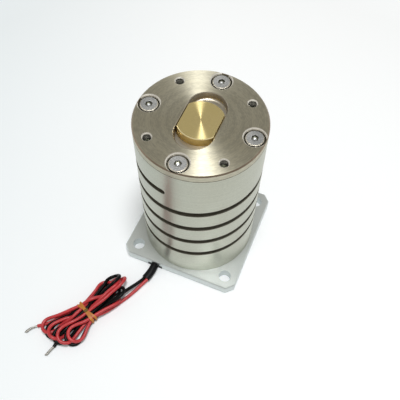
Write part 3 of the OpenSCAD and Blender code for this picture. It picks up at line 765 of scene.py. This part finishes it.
def make_top_plate():
    """The turned load plate with its guide slot, counterbores and tapped holes."""
    outline = [(r, BODY_TOP_Z) for r in UNDERSIDE_RINGS]
    outline += [(BODY_R - SEAM, BODY_TOP_Z), (BODY_R, BODY_TOP_Z + SEAM)]
    outline += [(BODY_R, TOP_Z - RIM), (BODY_R - RIM, TOP_Z)]
    outline += [(r, TOP_Z) for r in TOP_RINGS]
    plate = finished_piece(turned_shell(outline), "top_plate_turned", top_steel)
    cuts = [(guide_slot_rings(), Matrix.Identity(4))]
    cuts += [(counterbore_rings(), on_circle(SCREW_CIRCLE_R, angle)) for angle in SCREW_ANGLES]
    cuts += [(load_hole_rings(), on_circle(SCREW_CIRCLE_R, angle)) for angle in LOAD_ANGLES]
    for rings, at in cuts:
        cutter = bmesh.new()
        stacked_rings(cutter, rings, at)
        cut_with(plate, cutter)
    finishes = [slot_steel, edge_highlight_steel, joint_and_shade_steel, thread_shade_steel, rim_shade_steel, painted_light_wall_steel]
    finish_faces(plate, finishes, plate_finish)
    smooth_faces(plate.data)
    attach(plate, "carriage")
    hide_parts("top_plate")


def post_finish(face):
    """The finish of the post's walls, and a painted highlight of brighter brass on the broken edge round
    its top.
    """
    z = face.center.z / MM
    if z > TOP_Z - LEVEL_SLACK:
        return None
    return edge_highlight_brass if z > TOP_Z - POST_EDGE else wall_brass


def make_guide_post():
    """The brass post: a foot, a round stem and a flatted top with broken edges."""
    bm = bmesh.new()
    foot_top = BODY_BASE_Z + POST_FOOT_H
    round_part = [
        (POST_SPIGOT_R, BODY_BASE_Z - POST_SPIGOT_H), (POST_SPIGOT_R, BODY_BASE_Z),
        (POST_FOOT_R, BODY_BASE_Z), (POST_FOOT_R, foot_top), (POST_R, foot_top), (POST_R, FLATS_Z),
    ]
    rings = [circle_ring(r, z, WIDE_RING_STEPS) for r, z in round_part]
    rings.append(flatted_ring(POST_R, POST_FLAT, FLATS_Z))
    rings.append(flatted_ring(POST_R, POST_FLAT, TOP_Z - POST_EDGE))
    rings.append(flatted_ring(POST_R - POST_EDGE, POST_FLAT - POST_EDGE * 0.6, TOP_Z))
    stacked_rings(bm, rings)
    post = finished_piece(bm, "guide_post_turned", post_brass)
    finish_faces(post, [edge_highlight_brass, wall_brass], post_finish)
    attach(post, "base")
    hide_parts("guide_post")


def screw_finish(face):
    """Painted shade on a cap screw's socket walls and the side of its head, and a painted highlight on the
    head's edge.
    """
    from_axis, depth = from_nearest(face, SCREW_ANGLES), CAP_TOP_Z - face.center.z / MM
    near, far = SOCKET_ZONE
    shallow, deep = SOCKET_WALLS
    if near < from_axis < far and shallow < depth < deep:
        return joint_and_shade_steel
    if from_axis > CAP_HEAD_R - HEAD_SIDE_SLACK and CAP_HEAD_EDGE_H < depth < CAP_HEAD_H:
        return head_side_shade_steel
    if from_axis > CAP_HEAD_R - CAP_HEAD_EDGE_W and 0.0 < depth < CAP_HEAD_EDGE_H:
        return edge_highlight_steel
    return None


def make_cap_screws():
    """Four low-head socket screws with bevelled rims and hexagon sockets that end in a shallow point."""
    bm = bmesh.new()
    end_z = CAP_SEAT_Z - CAP_LENGTH
    rings = [
        circle_ring(CAP_SHANK_R - CAP_SHANK_EDGE, end_z),
        circle_ring(CAP_SHANK_R, end_z + CAP_SHANK_EDGE),
        circle_ring(CAP_SHANK_R, CAP_SEAT_Z),
        circle_ring(CAP_HEAD_R, CAP_SEAT_Z),
        circle_ring(CAP_HEAD_R, CAP_TOP_Z - CAP_HEAD_EDGE_H),
        circle_ring(CAP_HEAD_R - CAP_HEAD_EDGE_W, CAP_TOP_Z),
        hexagon_ring(SOCKET_HALF + SOCKET_EDGE_W, CAP_TOP_Z),
        hexagon_ring(SOCKET_HALF, CAP_TOP_Z - SOCKET_EDGE_H),
        hexagon_ring(SOCKET_HALF, CAP_TOP_Z - SOCKET_DEPTH),
    ]
    rings += [circle_ring(radius, CAP_TOP_Z - depth) for radius, depth in SOCKET_POINT]
    for angle, turn in zip(SCREW_ANGLES, SOCKET_TURNS):
        at = on_circle(SCREW_CIRCLE_R, angle) @ Matrix.Rotation(math.radians(turn), 4, "Z")
        stacked_rings(bm, rings, at)
    screws = finished_piece(bm, "cap_screws_socketed", screw_steel)
    finish_faces(screws, [joint_and_shade_steel, head_side_shade_steel, edge_highlight_steel], screw_finish)
    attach(screws, "carriage")
    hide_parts("cap_screws")


# Leads

HANK_ACROSS = Vector((math.cos(TIE_TURN), math.sin(TIE_TURN), 0.0))
HANK_DOWN = Vector((math.sin(TIE_TURN), -math.cos(TIE_TURN), 0.0))

# Places of each lead's strands inside the tie, as across and height, in the order that the lead meets them
RED_STRANDS = [
    (3.08, 2.15), (3.08, 3.35), (1.85, 2.15), (0.62, 3.35), (-0.62, 0.95),
    (-0.62, 2.15), (-1.85, 3.35), (-3.08, 3.35), (-3.08, 2.15),
]
BLACK_STRANDS = [
    (3.08, 0.95), (1.85, 0.95), (1.85, 3.35), (0.62, 0.95), (0.62, 2.15),
    (-1.85, 0.95), (-0.62, 3.35), (-1.85, 2.15), (-3.08, 0.95),
]

# Radius and drawn angles of a fold, shares of its legs that have a point, and gaps under the leads
FOLD_R = 2.5
FOLD_ANGLES = range(-15, 196, 35)
FOLD_LEGS = (0.3, 0.65)
DRAWN_GAP = 0.05
PARTED_GAP = 0.02
# Folds as across, down, height and lean in degrees, in the order that each lead meets them
RED_LOW_FOLDS = [
    (3.2, 8.0, 2.7, -16), (0.9, 10.8, 2.4, -16), (-2.7, 12.0, 2.0, -16), (-5.6, 12.0, 1.5, -12),
]
RED_HIGH_FOLDS = [
    (2.6, -9.6, 1.9, 25), (0.4, -15.2, 3.0, 55), (-0.6, -13.6, 2.9, 50), (-1.4, -11.0, 2.0, 25),
]
BLACK_LOW_FOLDS = [
    (2.6, 9.0, 1.2, -8), (-0.2, 11.4, 1.0, -8), (-3.9, 12.0, 0.9, -6), (-3.2, 10.6, 0.8, 0),
]
BLACK_HIGH_FOLDS = [
    (3.0, -11.9, 3.1, 40), (1.0, -11.4, 1.6, 20), (-1.6, -14.6, 3.2, 55), (-1.2, -9.8, 1.2, 10),
]

# Routes from the exit to the tie, from the tie to the end of the insulation, and along the stripped ends
RED_IN = [
    (-7.98, -21.5, 1.6), (-8.0, -23.0, 1.6), (-8.1, -25.2, 1.6), (-8.6, -27.6, 1.5), (-9.8, -30.3, 1.1),
    (-11.3, -34.1, 0.8), (-12.6, -36.9, 0.8), (-14.0, -39.3, 0.9), (-15.6, -42.6, 1.1),
]
BLACK_IN = [
    (-9.22, -21.5, 1.6), (-9.25, -23.0, 1.6), (-9.4, -25.2, 1.6), (-9.9, -28.0, 1.7), (-11.3, -31.3, 2.0),
    (-12.8, -33.6, 2.3), (-14.0, -35.6, 2.5), (-15.4, -38.2, 2.4), (-17.2, -42.0, 2.0),
]
RED_OUT = [
    (-27.8, -50.6, 1.6), (-30.2, -52.9, 1.2), (-32.6, -55.0, 0.8), (-34.6, -56.6, 0.75),
    (-36.4, -58.0, 0.7),
]
BLACK_OUT = [
    (-26.6, -50.6, 0.7), (-26.9, -53.6, 0.65), (-27.1, -57.0, 0.65), (-27.3, -59.6, 0.65),
    (-27.6, -62.2, 0.65),
]
RED_END = [(-36.2, -57.8, 0.7), (-37.6, -59.1, 0.85), (-38.5, -60.3, 0.85), (-39.0, -61.4, 0.6)]
BLACK_END = [(-27.5, -61.9, 0.65), (-28.1, -63.8, 0.65), (-28.6, -65.6, 0.6)]

# How the leads part: the bend radius aimed at, the steps in all and those that pull to the drawn route
LEAD_BEND = 3.0
PART_STEPS = 200
PULL_STEPS = 140
# Shares of a step that pull to the route, push strands apart, keep links and bends, and smooth
PULL = 0.04
PUSH = 0.25
KEEP_LINKS = 0.5
KEEP_BENDS = 0.25
SMOOTH = 0.4
# Points held in the sleeve and at the stripped end, one to a millimetre
HELD_START = 9
HELD_END = 6


def in_hank(across, down, height):
    """A point of the hank, from the middle of the tie, in millimetres."""
    return TIE_AT + HANK_ACROSS * across + HANK_DOWN * down + Vector((0, 0, height))


def fold_points(start, fold, end, way):
    """Points from one strand in the tie round a fold and back to the next strand."""
    across, down, height, lean = fold
    points = []
    for degrees in FOLD_ANGLES:
        angle = math.radians(degrees)
        side, reach = math.cos(angle) * FOLD_R, math.sin(angle) * FOLD_R * way
        lifted = height + side * math.sin(math.radians(lean))
        flat = side * math.cos(math.radians(lean))
        points.append(in_hank(across + flat, down + reach, max(lifted, LEAD_D / 2 + DRAWN_GAP)))
    legs = []
    for strand, near in ((start, points[0]), (end, points[-1])):
        tied = in_hank(strand[0], 0.0, strand[1])
        legs.append([tied + (near - tied) * share for share in FOLD_LEGS])
    return [*legs[0], *points, *reversed(legs[1])]


def lead_route(way_in, strands, low_folds, high_folds, way_out):
    """One lead from the exit, through its folds, to its stripped end."""
    route = [Vector(p) for p in way_in]
    for index, strand in enumerate(strands):
        route.append(in_hank(strand[0], 0.0, strand[1]))
        if index + 1 < len(strands):
            low = index % 2 == 0
            fold = (low_folds if low else high_folds)[index // 2]
            route += fold_points(strand, fold, strands[index + 1], 1.0 if low else -1.0)
    return route + [Vector(p) for p in way_out]


def millimetre_points(route):
    """Points one millimetre apart along a bent line."""
    line = numpy.array([tuple(p) for p in route])
    along = numpy.concatenate([[0.0], numpy.cumsum(numpy.linalg.norm(numpy.diff(line, axis=0), axis=1))])
    marks = numpy.linspace(0.0, along[-1], round(along[-1]) + 1)
    return numpy.array([numpy.interp(marks, along, line[:, axis]) for axis in range(3)]).T


def spread(at, first, second, wanted, share, only_apart=True):
    """Moves that bring pairs of points to a wanted distance, or only apart to it."""
    across = at[second] - at[first]
    length = numpy.linalg.norm(across, axis=1)
    short = wanted - length
    if only_apart:
        short = numpy.clip(short, 0.0, None)
    change = across * (share * short / length)[:, None]
    moves = numpy.zeros_like(at)
    numpy.add.at(moves, second, change)
    numpy.add.at(moves, first, -change)
    return moves


def parted(routes):
    """Leads pushed apart, near their routes, until their strands press against each other."""
    lines = [millimetre_points(route) for route in routes]
    lead = numpy.repeat(range(len(lines)), [len(line) for line in lines])
    from_start = numpy.concatenate([numpy.arange(len(line)) for line in lines])
    from_end = numpy.concatenate([numpy.arange(len(line))[::-1] for line in lines])
    drawn = numpy.vstack(lines)
    from_tie = numpy.abs((drawn - numpy.array(TIE_AT)) @ numpy.array(HANK_DOWN))
    held = (from_start < HELD_START) | (from_end < HELD_END) | (from_tie < TIE_W)
    free = (~held)[:, None]
    count = numpy.arange(len(drawn))
    links = count[from_end > 0]
    bends = count[from_end > 3]
    inner = count[(from_start > 1) & (from_end > 1)]
    first, second = numpy.nonzero(numpy.linalg.norm(drawn[:, None] - drawn, axis=2) < 4 * LEAD_D)
    others = (second > first) & ((lead[first] != lead[second]) | (second - first > 3))
    first, second = first[others], second[others]
    link_length = numpy.linalg.norm(drawn[links + 1] - drawn[links], axis=1)
    bend_span = 2 * LEAD_BEND * math.sin(2 / LEAD_BEND)
    at = drawn.copy()
    for step in range(PART_STEPS):
        if step < PULL_STEPS:
            at += PULL * free * (drawn - at)
        at += free * spread(at, first, second, LEAD_D, PUSH)
        for _ in range(3):
            at += free * spread(at, links, links + 1, link_length, KEEP_LINKS, only_apart=False)
            at += free * spread(at, bends, bends + 4, bend_span, KEEP_BENDS)
        beside, beyond = at[inner - 1] + at[inner + 1], at[inner - 2] + at[inner + 2]
        smooth = numpy.zeros_like(at)
        smooth[inner] = (4 * beside - beyond) / 6 - at[inner]
        at += SMOOTH * free * smooth
        at[:, 2] = numpy.where(held, at[:, 2], numpy.maximum(at[:, 2], LEAD_D / 2 + PARTED_GAP))
    return [at[lead == index] for index in range(len(lines))]


def round_wires(name, routes, finish, diameter, sides, steps, order):
    """A piece of smooth round wires, each along a route of points in millimetres."""
    data = bpy.data.curves.new(name, "CURVE")
    data.dimensions = "3D"
    data.bevel_depth = diameter / 2 * MM
    data.bevel_resolution = sides
    data.use_fill_caps = True
    data.resolution_u = steps
    for route in routes:
        spline = data.splines.new("NURBS")
        spline.points.add(len(route) - 1)
        for point, at in zip(spline.points, route):
            point.co = (*metres(at), 1.0)
        spline.order_u = order
        spline.use_endpoint_u = True
    data.materials.append(finish)
    wires = bpy.data.objects.new(name, data)
    bpy.context.scene.collection.objects.link(wires)
    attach(wires, "base")
    return wires


def make_lead(name, route, finish):
    """One insulated lead."""
    return round_wires(name, [route], finish, diameter=LEAD_D, sides=4, steps=2, order=4)


# The sleeve from within the base plate outwards, as x, y, half width and half height
SLEEVE_STATIONS = [
    (-8.6, -16.0, 1.4, 1.4), (-8.6, -21.5, 1.4, 1.4), (-8.6, -22.6, 1.42, 1.4), (-8.65, -24.2, 1.45, 1.3),
    (-8.95, -26.0, 1.48, 1.16), (-9.3, -27.4, 1.5, 1.05), (-9.4, -27.8, 1.5, 1.0),
]
SLEEVE_STEPS = 24


def make_sleeve():
    """The shrunk sleeve: round at the exit, pressed to an oval over the two leads."""
    bm = bmesh.new()
    loops = []
    last = len(SLEEVE_STATIONS) - 1
    for index, (x, y, wide, high) in enumerate(SLEEVE_STATIONS):
        before, after = SLEEVE_STATIONS[max(index - 1, 0)], SLEEVE_STATIONS[min(index + 1, last)]
        heading = math.atan2(before[0] - after[0], after[1] - before[1]) + math.pi
        turn = Matrix.Rotation(heading, 4, "Z") @ Matrix.Rotation(math.pi / 2, 4, "X")
        size = Matrix.Diagonal((wide * MM, high * MM, 1.0, 1.0))
        at = Matrix.Translation(metres((x, y, SLEEVE_Z))) @ turn @ size
        made = bmesh.ops.create_circle(bm, cap_ends=False, segments=SLEEVE_STEPS, radius=1.0, matrix=at)
        loops.append(list({edge for vert in made["verts"] for edge in vert.link_edges}))
    for one, two in zip(loops, loops[1:]):
        bmesh.ops.bridge_loops(bm, edges=one + two)
    bmesh.ops.holes_fill(bm, edges=bm.edges, sides=0)
    sleeve = finished_piece(bm, "lead_sleeve_shrunk", sleeve_black, 50.0)
    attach(sleeve, "base")
    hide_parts("lead_sleeve")
    return sleeve


# The tie's half width, half height and middle height, and how square its loop is, where 1 is round
TIE_HALF_WIDTH = 4.25
TIE_HALF_HEIGHT = 1.95
TIE_MIDDLE_Z = 2.15
TIE_SQUARE = 0.45
# How far the second turn of the band lies over the first
TIE_OVER = 0.06
KNOT_Z = 4.2
KNOT_SIZE = (0.55, 0.8, 0.35, 1.0)


def squared(value):
    """A sine or cosine pushed outwards, so that a circle nears a square."""
    return math.copysign(abs(value) ** TIE_SQUARE, value)


def make_tie():
    """A band wound twice round the hank, its turns crossing at a small knot on top, painted dark olive as
    shade.
    """
    bm = bmesh.new()
    for slant, lift in ((-TIE_SLANT, 0.0), (TIE_SLANT, TIE_OVER)):
        made = bmesh.ops.create_cone(
            bm, cap_ends=False, segments=RING_STEPS, radius1=1.0, radius2=1.0, depth=TIE_W
        )
        for vert in made["verts"]:
            angle = math.atan2(vert.co.y, vert.co.x)
            wide, high = squared(math.cos(angle)), squared(math.sin(angle))
            height = TIE_MIDDLE_Z + high * (TIE_HALF_HEIGHT + lift)
            vert.co = in_hank(wide * TIE_HALF_WIDTH, vert.co.z + slant * wide, height) * MM
    bmesh.ops.solidify(bm, geom=bm.faces[:], thickness=TIE_T * MM)
    bands = len(bm.faces)
    knot = bmesh.ops.create_icosphere(bm, subdivisions=3, radius=MM, matrix=Matrix.Diagonal(KNOT_SIZE))
    for vert in knot["verts"]:
        x, y, z = vert.co / MM
        vert.co = in_hank(x, y * (1 + 0.5 * abs(x)), KNOT_Z + z) * MM
    tie = finished_piece(bm, "hank_tie_band", tie_orange, 40.0)
    finish_faces(tie, [knot_shade_olive], lambda face: knot_shade_olive if face.index >= bands else None)
    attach(tie, "base")
    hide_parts("hank_tie")
    return tie


# A stripped end: strands round a middle one, their diameter, distance from it, skew and turns
OUTER_STRANDS = 6
STRAND_D = 0.36
STRAND_OFF = 0.34
STRAND_SKEW = 0.3
STRAND_TURNS = 1.2
TIP_POINTS = 9


def even_points(points, count):
    """Points along a bent line, evenly shared between its corners."""
    made = []
    for index in range(count):
        place_on = index / (count - 1) * (len(points) - 1)
        leg = min(int(place_on), len(points) - 2)
        a, b = Vector(points[leg]), Vector(points[leg + 1])
        made.append(a + (b - a) * (place_on - leg))
    return made


def make_tip(name, node_name, corners):
    """A stripped end: tinned strands twisted together."""
    route = even_points(corners, TIP_POINTS)
    strands = []
    for strand in range(OUTER_STRANDS + 1):
        off = STRAND_OFF if strand < OUTER_STRANDS else 0.0
        turns = []
        for index, at in enumerate(route):
            angle = 2 * math.pi * (strand / OUTER_STRANDS + index / (len(route) - 1) * STRAND_TURNS)
            across = math.cos(angle) * off
            turns.append(at + Vector((across, across * STRAND_SKEW, math.sin(angle) * off)))
        strands.append(turns)
    tip = round_wires(
        name, strands, tinned_wire, diameter=STRAND_D, sides=2, steps=4, order=3
    )
    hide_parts(node_name)
    return tip


def make_leads():
    """Both leads with their sleeve, tie and stripped ends."""
    sleeve, tie = make_sleeve(), make_tie()
    red_tip = make_tip("red_lead_strands", "red_lead_tip", RED_END)
    black_tip = make_tip("black_lead_strands", "black_lead_tip", BLACK_END)
    red_route, black_route = parted([
        lead_route(RED_IN, RED_STRANDS, RED_LOW_FOLDS, RED_HIGH_FOLDS, RED_OUT),
        lead_route(BLACK_IN, BLACK_STRANDS, BLACK_LOW_FOLDS, BLACK_HIGH_FOLDS, BLACK_OUT),
    ])
    red = make_lead("red_lead_wire", red_route, lead_red)
    black = make_lead("black_lead_wire", black_route, lead_black)
    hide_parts("red_lead", "lead_hank")
    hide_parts("black_lead")


make_leads()
make_spring_body()
make_top_plate()
make_guide_post()
make_cap_screws()


# Stage and light

# Half the floor's width and its depth under the motor, in metres
FLOOR_HALF = 1.5
FLOOR_DROP = 0.00002

# Painted shade on the floor: the paper darker and bluer towards one side along one direction, and the
# places in metres between which it changes
PAPER_SHADED_LEFT = (0.78, 0.83, 0.86)
PAPER_RIGHT = (0.91, 0.93, 0.95)
PAPER_ACROSS = (0.9307, 0.3658, 0.0)
PAPER_CHANGE = (-0.10, 0.0)

# How far the floor is lifted towards white near the motor and far away, and between which distances
FLOOR_LIFT = 0.10
FAR_LIFT = 0.65
LIFT_CHANGE = (0.15, 0.5)
LIFT_COLOUR = (0.88, 0.96, 1.0)

ROOM = (0.40, 0.385, 0.355)
BACKDROP = (1.0, 1.0, 1.0)
# Heights of a direction, 0 level and 1 straight up, between which the backdrop fades into the room
BACKDROP_RISE = (0.22, 0.42)


def seen_directly(tree):
    """1 where the eye, a reflection or glass looks at a surface, 0 where it only gives light."""
    path = add(tree, "ShaderNodeLightPath").outputs
    glossy = maths(tree, "MAXIMUM", path["Is Glossy Ray"], path["Is Transmission Ray"])
    return maths(tree, "MAXIMUM", path["Is Camera Ray"], glossy)


def floor_paper():
    """Pale paper with painted shade towards one side, lifted towards white where it is seen, that keeps the
    shadows.
    """
    material, tree, main = shader("floor_paper")
    tree.nodes.remove(main)
    at = place(tree)
    # Painted shade: the paper's tone darkens towards one side along one direction.
    across = add(tree, "ShaderNodeVectorMath", {0: at, 1: PAPER_ACROSS}, operation="DOT_PRODUCT")
    share = span(tree, across.outputs["Value"], 0.0, 1.0, *PAPER_CHANGE)
    tone = blend_colours(tree, share, rgb(PAPER_SHADED_LEFT), rgb(PAPER_RIGHT))
    paper = add(tree, "ShaderNodeBsdfDiffuse", {"Color": tone})
    far = span(tree, radius_from_axis(tree, at), FLOOR_LIFT, FAR_LIFT, *LIFT_CHANGE)
    lift = maths(tree, "MULTIPLY", seen_directly(tree), far)
    glow = add(tree, "ShaderNodeEmission", {"Color": rgb(LIFT_COLOUR), "Strength": lift})
    both = add(tree, "ShaderNodeAddShader", {0: paper.outputs[0], 1: glow.outputs[0]})
    set_link(tree, both.outputs[0], tree.nodes["Material Output"].inputs["Surface"])
    return material


def make_stage():
    """The floor under the motor."""
    bm = bmesh.new()
    bmesh.ops.create_grid(bm, x_segments=1, y_segments=1, size=FLOOR_HALF)
    data = bpy.data.meshes.new("floor")
    bm.to_mesh(data)
    bm.free()
    data.materials.append(floor_paper())
    floor = bpy.data.objects.new("floor", data)
    floor.location.z = -FLOOR_DROP
    bpy.context.scene.collection.objects.link(floor)


def soft_lamp(name, at, toward, size, power):
    """A square soft lamp aimed at a point, in millimetres and watts."""
    data = bpy.data.lights.new(name, "AREA")
    data.shape = "SQUARE"
    data.size = size * MM
    data.energy = power
    lamp = bpy.data.objects.new(name, data)
    lamp.location = metres(at)
    aim = metres(toward) - metres(at)
    lamp.rotation_euler = aim.to_track_quat("-Z", "Y").to_euler()
    bpy.context.scene.collection.objects.link(lamp)


def make_light():
    """A dim warm room with a white backdrop low down, and one soft lamp above the motor."""
    world = bpy.data.worlds.new("studio")
    world.use_nodes = True
    tree = world.node_tree
    rise = height_of(tree, add(tree, "ShaderNodeTexCoord").outputs["Generated"])
    white = maths(tree, "MULTIPLY", seen_directly(tree), span(tree, rise, 1.0, 0.0, *BACKDROP_RISE))
    room = blend_colours(tree, white, rgb(ROOM), rgb(BACKDROP))
    set_link(tree, room, tree.nodes["Background"].inputs["Color"])
    bpy.context.scene.world = world
    soft_lamp("ceiling", at=(40, -40, 560), toward=(0, -20, 0), size=110, power=2.0)


make_stage()
make_light()
bpy.context.scene.view_settings.view_transform = "Standard"
